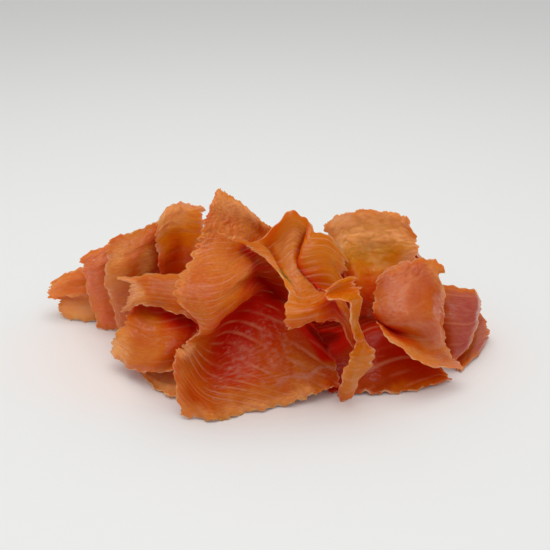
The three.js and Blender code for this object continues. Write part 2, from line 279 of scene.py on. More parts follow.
def buckled(flat, ripple, frill, folds, ledges, crumples, seed):
    """How far the soft sheet buckles out of its smooth run."""
    u, v = flat.u, flat.v
    buckle = ripples(ripple, flat.along, flat.across)
    buckle += layered(u, v, DENTS, seed)
    buckle += frill * np.exp(-flat.rim / FRILL_REACH) * rough(u, v, FRILL_SIZE, seed + 5)
    wrinkles = rough(u, WRINKLE_STRETCH * v, WRINKLE_SIZE, seed + 11)
    wrinkles += SMALL_WRINKLE_SHARE * rough(u, v, SMALL_WRINKLE_SIZE, seed + 12)
    buckle += patched(flat, crumples) * wrinkles
    fold_count, fold_depth, fold_reach = folds
    fold_place = flat.across + FOLD_STRAY * rough(u, v, FOLD_STRAY_SIZE, seed + 6)
    fold = np.sin(FULL_TURN * fold_count * fold_place)
    buckle += fold_depth * fold * np.exp((v - flat.length) / fold_reach)
    for ledge_along, ledge_depth in ledges:
        below = v - ledge_along * flat.length - layered(u, v, LEDGE_STRAY, seed)
        drop = np.where(below > 0, np.exp(-below / LEDGE_SLOPE), np.exp(below / LEDGE_LIP))
        buckle -= ledge_depth * drop
    return buckle


# The knife runs out at the rim, where a slice is no thicker than a film.
THICKNESS = 1.5
FILM_THICKNESS = 0.35
RIM_WIDTH = 4.0
# Between two fat lines the flesh swells a little, and its fibres stand out less still.
FLAKE_SWELL = 0.11
FIBRE_SWELL = 0.05
FIBRE_SIZE = 0.9
FIBRE_STRETCH = 5


def half_thickness(flat, fat_count, seed):
    """Half the slice's thickness, which runs out to a film at the rim."""
    flakes = FLAKE_SWELL * np.abs(np.sin(np.pi * fat_count))
    fibres = FIBRE_SWELL * rough(flat.u / FIBRE_STRETCH, flat.v, FIBRE_SIZE, seed + 3)
    inside = np.clip(flat.rim / RIM_WIDTH, 0, 1)
    inside = inside * inside * (3 - 2 * inside)
    half = (FILM_THICKNESS + (THICKNESS - FILM_THICKNESS) * inside) / 2
    return half + (flakes + fibres) * inside


# How far apart the slices lie in the pattern of the flesh.
FLESH_SHIFT = 61.0
# How each slice lies, for the light inside the heap.
laid_slices = []


def add_slice(
    name,
    rails,
    ripple,
    seed,
    lines,
    flesh,
    blush,
    tears=(0.3, 0.3, 0.3, 0.3),
    bites=(),
    frill=0.2,
    folds=(0, 0.0, 1.0),
    ledges=(),
    crumples=(),
    marbling=0.3,
    veins=0.0,
    film=0.6,
    thin=5.0,
    depth=1.0,
    patches=(),
    shades=(),
    smears_and_sheen=(),
):
    """One slice: a fine thin sheet through its rails, closed round its torn rim.

    Sizes are in millimetres, and places on a slice are shares of its width and length.

    rails: lines of places from the top rim to the foot, in their order across the slice.
    ripple: how deep its waves are, and how many run along and across it.
    lines: how far apart the fat lines are, their slope at the top and the foot, their bend.
    flesh, blush: the two colours that the flesh wanders between.
    tears: how ragged the top, foot, left and right rims are.
    bites: the edge, place along it, half width and depth of each large tear.
    frill: how far the rim waves to and fro.
    folds: how many, how deep, and how far up from the foot.
    ledges: where along the slice the edge of a flake crosses it, and how high it stands.
    marbling, veins: how strongly the fat lines and the dark veins show.
    film, thin: how far the pale film and the amber thin flesh reach in from the rim; the amber
    is partly painted light shining through the thin flesh.
    depth: how strongly painted shade darkens the slice where it lies in a hollow.

    The rest are soft patches, each with an amount that is below 0 for the opposite:
    crumples: wrinkled flesh. patches: deeper red flesh, which also paints shade, or paler
    flesh, which also paints light. shades: painted shade, or painted light. smears: fat that the
    knife has spread, and a painted wet sheen with glints.
    """
    rails = np.array(rails, float)
    length = line_length(rails[len(rails) // 2])
    width = line_length(rails[:, rails.shape[1] // 2])
    mesh, across, along = double_sheet(name, length, width)
    corner, upper = take_marks(mesh, "corner"), take_marks(mesh, "side")

    # The corners of both faces go to their sides of the buckled sheet.
    flat = torn_sheet(length, width, across, along, tears, bites, seed)
    fat_count = fat_line_count(flat, lines, seed)
    normals = sheet_normals(rails, flat.along, flat.across)
    buckle = buckled(flat, ripple, frill, folds, ledges, crumples, seed)
    half = half_thickness(flat, fat_count, seed)
    middle = sheet_at(rails, flat.along, flat.across) + normals * buckle[:, None]
    places = middle[corner] + normals[corner] * (half[corner] * (1 - 2 * upper))[:, None] - HEAP_MIDDLE
    # The table presses flat what would sink into it.
    places[:, 2] = np.maximum(places[:, 2], 0)
    mesh.vertices.foreach_set("co", np.clip(places * MM, *heap_box).astype(np.float32).ravel())
    mesh.update()

    # What the flesh reads at each vertex: its own millimetres, and what lies there.
    shift = FLESH_SHIFT * seed
    set_marks(mesh, "sheet", np.stack([flat.u + shift, flat.v + shift, flat.rim], axis=1)[corner])
    set_marks(mesh, "fat", fat_count[corner])
    set_marks(mesh, "redness_and_shade", patched(flat, patches)[corner])
    set_marks(mesh, "smear_sheen", patched(flat, smears_and_sheen)[corner])
    shade = patched(flat, shades)[corner]
    laid_slices.append(SimpleNamespace(
        mesh=mesh, rails=rails, length=length, width=width,
        along=flat.along[corner], across=flat.across[corner], upper=upper, shade=shade,
    ))

    piece = bpy.data.objects.new(name, mesh)
    bpy.context.scene.collection.objects.link(piece)
    mesh.materials.append(flesh_material(name, flesh, blush, film, thin, veins, depth, marbling))
    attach(piece, "root")
    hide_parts(name)


# What all slices share. Thin is the amber of flesh cut thin at a rim, partly its own colour
# and partly painted light shining through it. Shaded and Hollow paint shade, dark red deep in
# a hollow, and Deep is deeper red flesh that partly paints shade too. The smear colour is both
# spread fat and a painted wet sheen.
FLESH_TINTS = {
    "Fat": (0.70, 0.25, 0.12),
    "Film": (0.74, 0.44, 0.25),
    "Thin": (0.63, 0.175, 0.008),
    "Hollow": (0.58, 0.006, 0.0005),
    "Shaded": (0.97, 0.78, 0.15),
    "Deep": (0.44, 0.020, 0.003),
    "Pale": (0.84, 0.37, 0.12),
    "Smear and Sheen": (0.62, 0.25, 0.17),
}
# These multiply the colour of the flesh, so above 1 they make it paler. The crease tint paints
# the shadow in a crease, and the darkest tint paints the shade deepest in the heap.
FIBRE_TINT = (1.07, 1.34, 1.48)
CREASE_SHADOW_TINT = (0.80, 0.55, 0.45)
DARKEST_SHADE_TINT = (0.4, 0.4, 0.4)
# Shares of the way from one fat line to the next.
LINE_WIDTH = 0.22
CREASE_PLACE = 0.2
CREASE_WIDTH = 0.12
# Lumps of each pattern per millimetre, across and along the slice.
WANDER_LUMPS = (0.09, 0.09)
FIBRE_LUMPS = (0.40, 1.2)
GRAIN_LUMPS = (1.7, 1.7)
WRINKLE_LUMPS = (0.13, 0.2)
LINE_LUMPS = (0.05, 0.14)
FILM_LUMPS = (0.14, 0.14)
EDGE_FILM_LUMPS = (0.35, 0.35)
CLOUD_LUMPS = (0.11, 0.16)
STREAK_LUMPS = (0.35, 1.3)
WET_LUMPS = (0.6, 1.4)
# The borders of the amber flesh and of the film stray by this much.
AMBER_STRAY = 3.0
FILM_STRAY = 4.0
# Between these shares of full light, painted shade turns the flesh shaded, then dark red, then
# nearly black.
SHADED_LIGHT = (0.70, 0.97)
HOLLOW_LIGHT = (0.25, 0.88)
BLACK_LIGHT = (-0.4, 0.1)


def add_node(tree, kind, **values):
    """A node with its properties and the plain values of its inputs set by name."""
    node = tree.nodes.new(kind)
    for name, value in values.items():
        if hasattr(node, name):
            setattr(node, name, value)
        else:
            node.inputs[name.replace("_", " ")].default_value = value
    return node


def feed(socket, value):
    """Sets an input to a number or a colour, or links it to an output."""
    if isinstance(value, bpy.types.NodeSocket):
        socket.id_data.links.new(value, socket)
    elif isinstance(value, tuple):
        socket.default_value = (*value, 1.0)
    else:
        socket.default_value = value


def fade(value, start, end, low=1.0, high=0.0):
    """Goes smoothly from low to high while value goes from start to end."""
    node = add_node(value.id_data, "ShaderNodeMapRange", interpolation_type="SMOOTHSTEP")
    feed(node.inputs["Value"], value)
    for name, number in (("From Min", start), ("From Max", end), ("To Min", low), ("To Max", high)):
        feed(node.inputs[name], number)
    return node.outputs["Result"]


def combine(operation, first, second):
    """A Math node on an output and a number, or on two outputs."""
    tree = (second if isinstance(first, float) else first).id_data
    node = add_node(tree, "ShaderNodeMath", operation=operation)
    feed(node.inputs[0], first)
    feed(node.inputs[1], second)
    return node.outputs["Value"]


def multiply(first, second):
    """The product of two outputs, or of an output and a number."""
    return combine("MULTIPLY", first, second)


def add(first, second):
    """The sum of the two."""
    return combine("ADD", first, second)


def subtract(first, second):
    """The first less the second."""
    return combine("SUBTRACT", first, second)


def blend_colour(share, first, second, kind="MIX"):
    """Goes from the first colour to the second as the share goes from 0 to 1."""
    node = add_node(share.id_data, "ShaderNodeMix", data_type="RGBA", blend_type=kind)
    # The node has sockets of every kind, and these three are the ones for colours.
    for number, value in ((0, share), (6, first), (7, second)):
        feed(node.inputs[number], value)
    return node.outputs[2]


def flesh_noise(place, stretch, detail=3.0):
    """Noise on the sheet's own millimetres; stretch is lumps per millimetre across and along."""
    mapping = add_node(place.id_data, "ShaderNodeMapping")
    mapping.inputs["Scale"].default_value = (*stretch, 0.0)
    feed(mapping.inputs["Vector"], place)
    lumps = add_node(place.id_data, "ShaderNodeTexNoise", Scale=1.0, Detail=detail)
    feed(lumps.inputs["Vector"], mapping.outputs["Vector"])
    return lumps.outputs["Fac"]


def marked(tree, mark, output="Fac"):
    """What the vertices of a slice carry under a mark."""
    return add_node(tree, "ShaderNodeAttribute", attribute_name=mark).outputs[output]


flesh_group = bpy.data.node_groups.new("Salmon flesh", "ShaderNodeTree")
for way, kind, socket_names in (
    ("INPUT", "NodeSocketColor", ("Flesh", "Blush", *FLESH_TINTS)),
    ("INPUT", "NodeSocketFloat", ("Film Width", "Thin Width", "Veins", "Hollow Depth", "Marbling")),
    ("OUTPUT", "NodeSocketColor", ("Color",)),
    ("OUTPUT", "NodeSocketFloat", ("Roughness", "Wetness", "Height")),
):
    for socket_name in socket_names:
        flesh_group.interface.new_socket(socket_name, in_out=way, socket_type=kind)
given = add_node(flesh_group, "NodeGroupInput").outputs
result = add_node(flesh_group, "NodeGroupOutput").inputs
sheet_place = marked(flesh_group, "sheet", "Vector")
split = add_node(flesh_group, "ShaderNodeSeparateXYZ")
feed(split.inputs["Vector"], sheet_place)
rim_distance = split.outputs["Z"]
fat_lines = marked(flesh_group, "fat")

# Flesh that wanders between its two colours, with fibres that run the way of the fat lines.
wander = fade(flesh_noise(sheet_place, WANDER_LUMPS), 0.35, 0.65, 0.0, 1.0)
fibre = flesh_noise(sheet_place, FIBRE_LUMPS, 4.5)
grain = flesh_noise(sheet_place, GRAIN_LUMPS, 2.0)
colour = blend_colour(wander, given["Flesh"], given["Blush"])
fibre_shade = multiply(fade(fibre, 0.35, 0.7, 0.0, 1.0), fade(given["Marbling"], 0.0, 0.6, 0.5, 1.0))
colour = blend_colour(fibre_shade, colour, FIBRE_TINT, "MULTIPLY")

# Patches of deeper and of paler flesh, partly the flesh's own colour and partly painted shade
# and painted light.
redness_and_shade = multiply(marked(flesh_group, "redness_and_shade"), fade(fibre, 0.35, 0.65, 0.75, 1.25))
colour = blend_colour(fade(redness_and_shade, 0.0, 1.0, 0.0, 1.0), colour, given["Deep"])
colour = blend_colour(fade(redness_and_shade, -1.0, 0.0), colour, given["Pale"])

# Amber where the slice runs out thin, with an uneven border: partly the thin flesh's own colour,
# partly painted light shining through it.
stray_rim = add(rim_distance, multiply(wander, AMBER_STRAY))
thin_flesh_glow = fade(combine("DIVIDE", stray_rim, given["Thin Width"]), 0.15, 1.1, 0.7, 0.0)
colour = blend_colour(thin_flesh_glow, colour, given["Thin"])

# Where a slice is cut thin its wrinkled skin shows as darker veins.
wrinkle = flesh_noise(sheet_place, WRINKLE_LUMPS, 2.5)
to_wrinkle = combine("ABSOLUTE", subtract(wrinkle, 0.5), 0.0)
vein = multiply(fade(to_wrinkle, 0.0, 0.09), given["Veins"])
colour = blend_colour(vein, colour, given["Blush"])

# Fat lines come and go.
seen = fade(flesh_noise(sheet_place, LINE_LUMPS), 0.40, 0.64, 0.06, 1.1)
seen = multiply(seen, given["Marbling"])
line = multiply(fade(combine("PINGPONG", fat_lines, 0.5), 0.0, LINE_WIDTH), seen)
# The edge of the next flake makes a thin crease under each line, and its shadow is painted
# there as a dark line.
to_crease = combine("PINGPONG", subtract(fat_lines, CREASE_PLACE), 0.5)
shadowed_crease = multiply(fade(to_crease, 0.0, CREASE_WIDTH), seen)
shadowed_crease = multiply(shadowed_crease, fade(grain, 0.35, 0.6, 0.2, 1.0))
colour = blend_colour(shadowed_crease, colour, CREASE_SHADOW_TINT, "MULTIPLY")

# The film at the rim is paler and drier, and its inner border is uneven.
uneven = multiply(subtract(fibre, 0.5), FILM_STRAY)
film_place = combine("DIVIDE", add(rim_distance, uneven), given["Film Width"])
film_gaps = fade(flesh_noise(sheet_place, FILM_LUMPS), 0.42, 0.66, 0.05, 0.85)
broad_film = multiply(fade(film_place, -0.3, 1.0), film_gaps)
edge_gaps = fade(flesh_noise(sheet_place, EDGE_FILM_LUMPS, 3.0), 0.45, 0.62, 0.0, 0.8)
edge_film = multiply(fade(add(rim_distance, multiply(uneven, 0.5)), 0.0, 0.9), edge_gaps)
rim_film = combine("MAXIMUM", broad_film, edge_film)

# Painted shade: where slices crowd together the light has passed through flesh and lost its
# blue, then its green, and the colour shows it; redder patches darken it too.
openness = subtract(marked(flesh_group, "open"), multiply(redness_and_shade, 0.35))
shaded = multiply(fade(openness, *SHADED_LIGHT), given["Hollow Depth"])
colour = blend_colour(shaded, colour, given["Shaded"], "MULTIPLY")
buried = multiply(fade(openness, *HOLLOW_LIGHT), given["Hollow Depth"])
colour = blend_colour(buried, colour, given["Hollow"])
colour = blend_colour(fade(openness, *BLACK_LIGHT), colour, DARKEST_SHADE_TINT, "MULTIPLY")

# Film and fat stay pale in that painted shade, but less and less the deeper they lie.
lit = fade(openness, 0.1, 0.8, 0.15, 0.9)
colour = blend_colour(multiply(rim_film, lit), colour, given["Film"])
line = multiply(line, fade(openness, -0.3, 0.45, 0.1, 1.0))
colour = blend_colour(line, colour, given["Fat"])

# Fat that the knife has smeared over the slice lies on it in fine pale streaks. A painted wet
# sheen lies in the same streaks, in clouds that fade in the shade, and some smear patches are
# painted glints.
sheen_cloud = fade(flesh_noise(sheet_place, CLOUD_LUMPS, 3.0), 0.45, 0.7, 0.0, 0.3)
sheen_cloud = multiply(sheen_cloud, subtract(1.0, shaded))
smear_and_sheen = add(marked(flesh_group, "smear_sheen"), sheen_cloud)
streaks = add(flesh_noise(sheet_place, STREAK_LUMPS, 7.0), multiply(smear_and_sheen, 0.10))
streaks = fade(streaks, 0.50, 0.85, 0.0, 0.6)
smear_and_sheen = multiply(fade(smear_and_sheen, 0.0, 0.6, 0.0, 1.0), streaks)
colour = blend_colour(smear_and_sheen, colour, given["Smear and Sheen"])
feed(result["Color"], colour)

# Brine and oil wet the flesh unevenly, and in a hollow there is nothing for them to mirror.
feed(result["Roughness"], add(fade(grain, 0.3, 0.7, 0.26, 0.40), multiply(rim_film, 0.2)))
wet = fade(flesh_noise(sheet_place, WET_LUMPS, 5.0), 0.45, 0.62, 0.12, 1.0)
feed(result["Wetness"], multiply(subtract(1.0, buried), wet))

# Fibres, grain, fat and smears stand up a little, creases and veins lie in.
height = add(multiply(fibre, 0.45), multiply(grain, 0.18))
for relief, rise in ((line, 0.25), (shadowed_crease, -0.5), (vein, -0.6), (smear_and_sheen, 0.5)):
    height = add(height, multiply(relief, rise))
feed(result["Height"], height)


def flesh_material(name, flesh, blush, film, thin, veins, depth, marbling):
    """Wet translucent flesh: light passes into it and comes out redder."""
    material = bpy.data.materials.new(name + "_flesh")
    material.use_nodes = True
    tree = material.node_tree
    shader = tree.nodes["Principled BSDF"]
    pattern = add_node(tree, "ShaderNodeGroup", node_tree=flesh_group)
    for socket, tint in {"Flesh": flesh, "Blush": blush, **FLESH_TINTS}.items():
        feed(pattern.inputs[socket], tint)
    pattern.inputs["Film Width"].default_value = film
    pattern.inputs["Thin Width"].default_value = thin
    pattern.inputs["Veins"].default_value = veins
    pattern.inputs["Hollow Depth"].default_value = depth
    pattern.inputs["Marbling"].default_value = marbling
    bump = add_node(tree, "ShaderNodeBump", Strength=0.6, Distance=0.0006)
    feed(bump.inputs["Height"], pattern.outputs["Height"])
    feed(shader.inputs["Normal"], bump.outputs["Normal"])
    feed(shader.inputs["Base Color"], pattern.outputs["Color"])
    feed(shader.inputs["Roughness"], pattern.outputs["Roughness"])
    feed(shader.inputs["Coat Weight"], pattern.outputs["Wetness"])
    shader.inputs["IOR"].default_value = 1.2
    shader.inputs["Subsurface Weight"].default_value = 1.0
    shader.inputs["Subsurface Radius"].default_value = (1.0, 0.4, 0.15)
    shader.inputs["Subsurface Scale"].default_value = 0.002
    shader.inputs["Coat Roughness"].default_value = 0.10
    shader.inputs["Coat IOR"].default_value = 1.45
    return material


add_slice(
    "centre_slice",
    rails=[
        [
            (-17, 5, 62), (-21, -2, 54), (-24, -14, 47), (-29, -36, 41),
            (-21, -42, 34), (-24, -38, 26), (-30, -38, 19), (-28, -44, 1.2),
        ],
        [
            (-14, 5, 60), (-16, -1, 52), (-18, -14, 47), (-21, -38, 42),
            (-18, -43, 33), (-18, -25, 21), (-21, -38, 10), (-16, -47, 0.7),
        ],
        [
            (-9, 7, 56), (-9, 2, 49), (-11, -13, 44), (-14, -36, 42),
            (-14, -40, 35), (-13, -17, 23), (-8, -34, 10), (-6, -42, 0.5),
        ],
        [
            (-4, 9, 51), (-4, 6, 44), (-6, -8, 41), (-8, -25, 40),
            (-7, -26, 35), (-5, -5, 24), (4, -28, 10), (9, -37, 1.3),
        ],
        [
            (-1, 11, 47), (0, 8, 41), (-1, 1, 37), (-3, 0, 33),
            (-2, 8, 24), (3, 5, 17), (13, -24, 9), (17, -34, 2.9),
        ],
        [
            (3, 14, 43), (6, 13, 37), (8, 11, 31), (10, 11, 23),
            (11, 8, 16), (17, 0, 11), (23, -19, 8), (25, -30, 4),
        ],
    ],
    ripple=(0.5, 5, 1),
    seed=1,
    lines=(3.5, 0.9, -0.7, 0.25),
    flesh=(0.6, 0.15, 0.024),
    blush=(0.55, 0.104, 0.013),
    tears=(0.3, 0.3, 1.8, 0.25),
    bites=[
        (LEFT, 12, 1.0, 1.2), (LEFT, 20, 1.3, 1.6), (LEFT, 25, 1.0, 2.2), (LEFT, 29, 1.0, 3.6),
        (LEFT, 32, 0.8, 2.6), (LEFT, 35.5, 1.1, 4.0), (LEFT, 38.5, 0.7, 2.4), (LEFT, 42, 1.0, 3.0),
        (LEFT, 46, 0.8, 2.2), (LEFT, 50, 1.2, 2.4), (LEFT, 55, 1.0, 1.8), (LEFT, 84, 2, 1.0),
    ],
    folds=(7, 0.7, 8.0),
    ledges=[(0.215, 0.55)],
    crumples=[(0.35, 0.17, 22, 7, 0.7), (0.1, 0.24, 8, 6, 0.8)],
    marbling=0.6,
    film=1.6,
    thin=4.5,
    # Deeper red on the front below the collar, partly painted shade, and paler flesh at the tip, rim
    # and foot, partly painted light.
    patches=[
        (0.5, 0.72, 24, 8, 0.7), (0.82, 0.8, 22, 9, 0.25), (0.3, 0.82, 14, 8, 0.5),
        (0.2, 0.03, 26, 10, -0.8), (0.6, 0.02, 22, 5, -0.7), (0.03, 0.36, 8, 16, -0.35),
        (0.35, 0.995, 34, 4.5, -0.75), (0.7, 0.97, 8, 5, -0.4), (0.12, 0.93, 6, 6, 0.35),
        (0.03, 0.8, 4, 6, -1.0), (0.4, 0.215, 22, 1.4, -0.5),
    ],
    # Painted shade in the hollows under the collar and the lip, and painted light where an amount is
    # below 0.
    shades=[
        (0.62, 0.5, 16, 9, 0.65), (0.72, 0.36, 8, 10, 0.4), (0.3, 0.56, 16, 6, 0.9),
        (0.41, 0.88, 12, 5, 0.8), (0.15, 0.9, 8, 8, 0.5), (0.88, 0.45, 9, 10, -0.6),
        (1.0, 0.79, 9, 8, 3.6), (0.85, 0.85, 14, 7, -0.9), (0.75, 0.3, 6, 5, -0.8),
    ],
    # Spread fat, and painted wet sheen and glints, mostly on the front of the slice.
    smears_and_sheen=[
        (0.62, 0.8, 20, 8, 0.65), (0.5, 0.87, 24, 6, 0.8), (0.8, 0.9, 18, 1.2, 3.0),
        (0.0, 0.66, 4, 5, 2.0), (0.85, 0.92, 14, 5, 0.6), (0.35, 0.8, 10, 8, 0.4),
        (0.15, 0.4, 10, 12, 0.5),
    ],
)


# ---------------------------------------------------------------------------------------
# The folded slice: orange flesh with clear fat lines. It hangs over the right shoulder of the
# centre slice in two lobes with a pleat between them, and is gathered below into a lip that
# turns down over the hollow.

add_slice(
    "folded_slice",
    rails=[
        [(-12, -12, 50), (-5, -8, 44), (2, -12, 40), (7, -26, 37), (6, -38, 34), (7, -36, 28)],
        [(-4, -2, 44), (1, -5, 42), (5, -14, 38.5), (10, -27, 36), (11, -38, 35), (12, -37, 30)],
        [(4, -2, 52), (4, -7, 44), (7, -16, 39), (12, -26, 36.5), (15, -37, 36), (16, -36, 31)],
        [(9, -1, 56), (9, -6, 48), (10, -13, 41), (15, -22, 36), (18, -33, 36), (19, -33, 29)],
        [(14, 1, 52), (13, -4, 44), (13, -10, 38.5), (17, -18, 34), (21, -29, 36), (22, -29, 28)],
        [(17, -2, 49), (12, -12, 44), (12, -16, 39), (17, -20, 35), (23, -27, 31), (25, -27, 25)],
        [(22, -1, 46), (20, -9, 43), (20, -14, 39), (22, -18, 32), (26, -23, 27), (27, -23, 18)],
        [(28, 1, 37), (27, -4, 35), (26, -8, 31), (27, -12, 26), (30, -16, 19), (30, -18, 11)],
    ],
    ripple=(0.3, 2, 1),
    seed=2,
    lines=(3.6, 0.0, -0.1, 0.2),
    flesh=(0.58, 0.15, 0.018),
    blush=(0.53, 0.108, 0.005),
    tears=(0.2, 0.2, 0.08, 0.3),
    marbling=0.5,
    film=1.0,
    thin=12.0,
    patches=[
        (0.35, 0.05, 6, 5, 0.4), (0.75, 0.5, 4, 9, 0.5), (0.3, 0.5, 9, 9, -0.2),
        (0.05, 0.4, 3, 20, -0.4), (0.44, 0.2, 7, 7, -0.4),
    ],
    shades=[(0.12, 0.93, 16, 7, 0.8)],
    smears_and_sheen=[(0.45, 0.25, 9, 9, 0.4), (0.55, 0.55, 8, 8, 0.5)],
)


# ---------------------------------------------------------------------------------------
# The upright slice: amber flesh, cut so thin at its top that light comes through, which is
# painted there as paler flesh. It stands behind the left side of the centre slice, with its
# foot on the flat slice below.

add_slice(
    "upright_slice",
    rails=[
        [(-40, 19, 45), (-41, 15, 39), (-40, 14, 32), (-40, 13, 20), (-38, 12, 3.6)],
        [(-36, 23, 49), (-37, 19, 42), (-36, 17, 33), (-36, 15, 20), (-36, 14, 3.6)],
        [(-31, 24, 50), (-31, 21, 42), (-31, 19, 33), (-31, 16, 19), (-32, 15, 3.6)],
        [(-23, 22, 49), (-23, 18, 42), (-23, 15, 32), (-24, 13, 20), (-25, 12, 3.6)],
    ],
    ripple=(0.4, 2, 1),
    seed=3,
    lines=(4, 0.2, 0.1, 0.2),
    flesh=(0.74, 0.24, 0.008),
    blush=(0.68, 0.18, 0.003),
    tears=(0.9, 0.3, 1.0, 0.3),
    frill=0.3,
    ledges=[(0.3, 0.3)],
    crumples=[(0.2, 0.15, 10, 8, 0.4)],
    marbling=0.12,
    veins=0.3,
    film=4.0,
    thin=3.0,
    depth=0.8,
    patches=[(0.15, 0.05, 14, 12, -1.3), (0.6, 0.0, 14, 5, -0.7)],
    shades=[(0.6, 0.6, 14, 9, 0.7)],
)


# ---------------------------------------------------------------------------------------
# The left back slice: orange flesh with few fat lines. It stands to the left of the upright
# slice and curls forward round a hollow.

ORANGE_FLESH = (0.6, 0.155, 0.024)
ORANGE_BLUSH = (0.55, 0.108, 0.014)

add_slice(
    "left_back_slice",
    rails=[
        [(-59, 24, 35), (-59, 19, 31), (-60, 15, 24), (-58, 13, 14), (-56, 12, 3.6)],
        [(-52, 26, 37), (-52, 16, 34), (-52, 11, 28), (-51, 9, 17), (-50, 8, 3.6)],
        [(-46, 28, 39), (-45, 18, 37), (-47, 13, 30), (-47, 10, 18), (-45, 9, 3.6)],
        [(-40, 30, 41), (-40, 25, 35), (-41, 22, 27), (-43, 18, 16), (-41, 15, 3.6)],
    ],
    ripple=(0.4, 2, 1),
    seed=4,
    lines=(3.6, 0.1, 0.0, 0.3),
    flesh=ORANGE_FLESH,
    blush=ORANGE_BLUSH,
    tears=(0.7, 0.3, 0.7, 0.3),
    ledges=[(0.3, 0.35)],
    crumples=[(0.3, 0.15, 12, 8, 0.5)],
    marbling=0.2,
    veins=0.2,
    film=2.0,
    depth=0.7,
    patches=[(1.0, 0.6, 4, 12, 0.8), (0.2, 0.3, 9, 10, -0.5), (0.82, 0.5, 6, 10, -0.7)],
    shades=[(0.84, 0.45, 8, 12, -0.5)],
    smears_and_sheen=[(0.3, 0.2, 10, 9, 0.5), (0.8, 0.2, 8, 6, 0.5)],
)


# ---------------------------------------------------------------------------------------
# The pink left slice: paler, pinker flesh with a smear of fat. It leans on the slice behind
# it and comes down to the table at the left end.

add_slice(
    "pink_left_slice",
    rails=[
        [(-72, 30, 25), (-70, 26, 20), (-68, 23, 11), (-65, 19, 0.3)],
        [(-65, 30, 29), (-64, 24, 23), (-62, 21, 13), (-59, 17, 0.3)],
        [(-59, 31, 31), (-58, 27, 25), (-55, 21, 14), (-52, 17, 0.3)],
        [(-51, 34, 33), (-50, 31, 23), (-48, 26, 12), (-45, 22, 0.3)],
    ],
    ripple=(0.4, 2, 1),
    seed=5,
    lines=(4, 0.2, 0.1, 0.1),
    flesh=(0.72, 0.18, 0.06),
    blush=(0.66, 0.135, 0.05),
    tears=(0.5, 0.3, 0.5, 0.3),
    ledges=[(0.35, 0.3)],
    crumples=[(0.4, 0.2, 12, 8, 0.4)],
    marbling=0.2,
    depth=0.5,
    patches=[(0.3, 0.2, 10, 8, -0.3)],
    smears_and_sheen=[(0.4, 0.3, 12, 10, 0.6)],
)


# ---------------------------------------------------------------------------------------
# The upper tail: the end of a small orange slice, torn ragged at its outer rim. It sticks
# out to the far left from under the pink slice.

add_slice(
    "tail_upper_slice",
    rails=[
        [(-84, 36, 13), (-86, 33, 11), (-86, 28, 9)],
        [(-77, 36, 17), (-78, 32, 14), (-78, 27, 10)],
        [(-68, 35, 20), (-68, 31, 15), (-68, 27, 11)],
        [(-60, 35, 20), (-60, 32, 16), (-61, 29, 12)],
    ],
    ripple=(0.3, 2, 1),
    seed=6,
    lines=(2.6, 0.05, 0.0, 0.1),
    flesh=(0.68, 0.185, 0.04),
    blush=(0.64, 0.14, 0.03),
    tears=(0.5, 0.4, 2.2, 0.3),
    film=2.4,
    depth=0.5,
    patches=[(0.0, 0.5, 10, 12, -0.5)],
)


# ---------------------------------------------------------------------------------------
# The lower tail: the end of another small slice, torn like the upper one. It droops from
# under it, with its rim on the table. Its flesh is painted pale amber, with painted light where
# the upper tail shades it.

add_slice(
    "tail_lower_slice",
    rails=[
        [(-84, 35, 9), (-83, 30, 5), (-81, 28, 0.7)],
        [(-77, 36, 9), (-77, 30, 6), (-74, 25, 0.7)],
        [(-68, 36, 10), (-67, 30, 5), (-65, 25, 0.7)],
        [(-59, 36, 9), (-58, 31, 5), (-58, 28, 0.7)],
    ],
    ripple=(0.3, 2, 1),
    seed=7,
    lines=(2.6, -0.05, 0.0, 0.1),
    flesh=(1.0, 0.36, 0.08),
    blush=(0.96, 0.29, 0.05),
    tears=(0.5, 0.6, 2.2, 0.3),
    marbling=0.15,
    film=2.4,
    depth=0.2,
    patches=[(0.3, 0.6, 20, 12, -1.0)],
    shades=[(0.4, 0.5, 20, 12, -0.9)],
)


# ---------------------------------------------------------------------------------------
# The fin: a strip of orange flesh whose outer end is torn into two tips. It sticks out to
# the left from under the collar of the centre slice, which holds its other end.

add_slice(
    "fin_slice",
    rails=[
        [(-55, 5, 28), (-49, 0, 26), (-52, -4, 18)],
        [(-48, 4, 29), (-44, -2, 27), (-45, -6, 22)],
        [(-38, 3, 30), (-36, -4, 27), (-37, -8, 22)],
        [(-28, 2, 31), (-27, -6, 27), (-28, -13, 21)],
        [(-20, 2, 30), (-19, -6, 25), (-20, -13, 19)],
        [(-13, 5, 29), (-12, 0, 25), (-13, -4, 22)],
    ],
    ripple=(0.4, 1, 3),
    seed=8,
    lines=(2.4, 0.03, 0.03, 0.02),
    flesh=ORANGE_FLESH,
    blush=ORANGE_BLUSH,
    tears=(0.4, 0.8, 2.6, 0.2),
    bites=[(LEFT, 6.0, 2.0, 3.0), (LEFT, 9.0, 1.0, 1.5), (LEFT, 3.0, 0.8, 1.5)],
    marbling=0.35,
    film=2.4,
    patches=[(0.0, 0.6, 9, 12, -1.2)],
    smears_and_sheen=[(0.0, 0.7, 8, 10, 2.6)],
)


# ---------------------------------------------------------------------------------------
# The lower left slice: orange flesh that runs out pale at its outer rim. It drops from under
# the fin and bends out over the table.

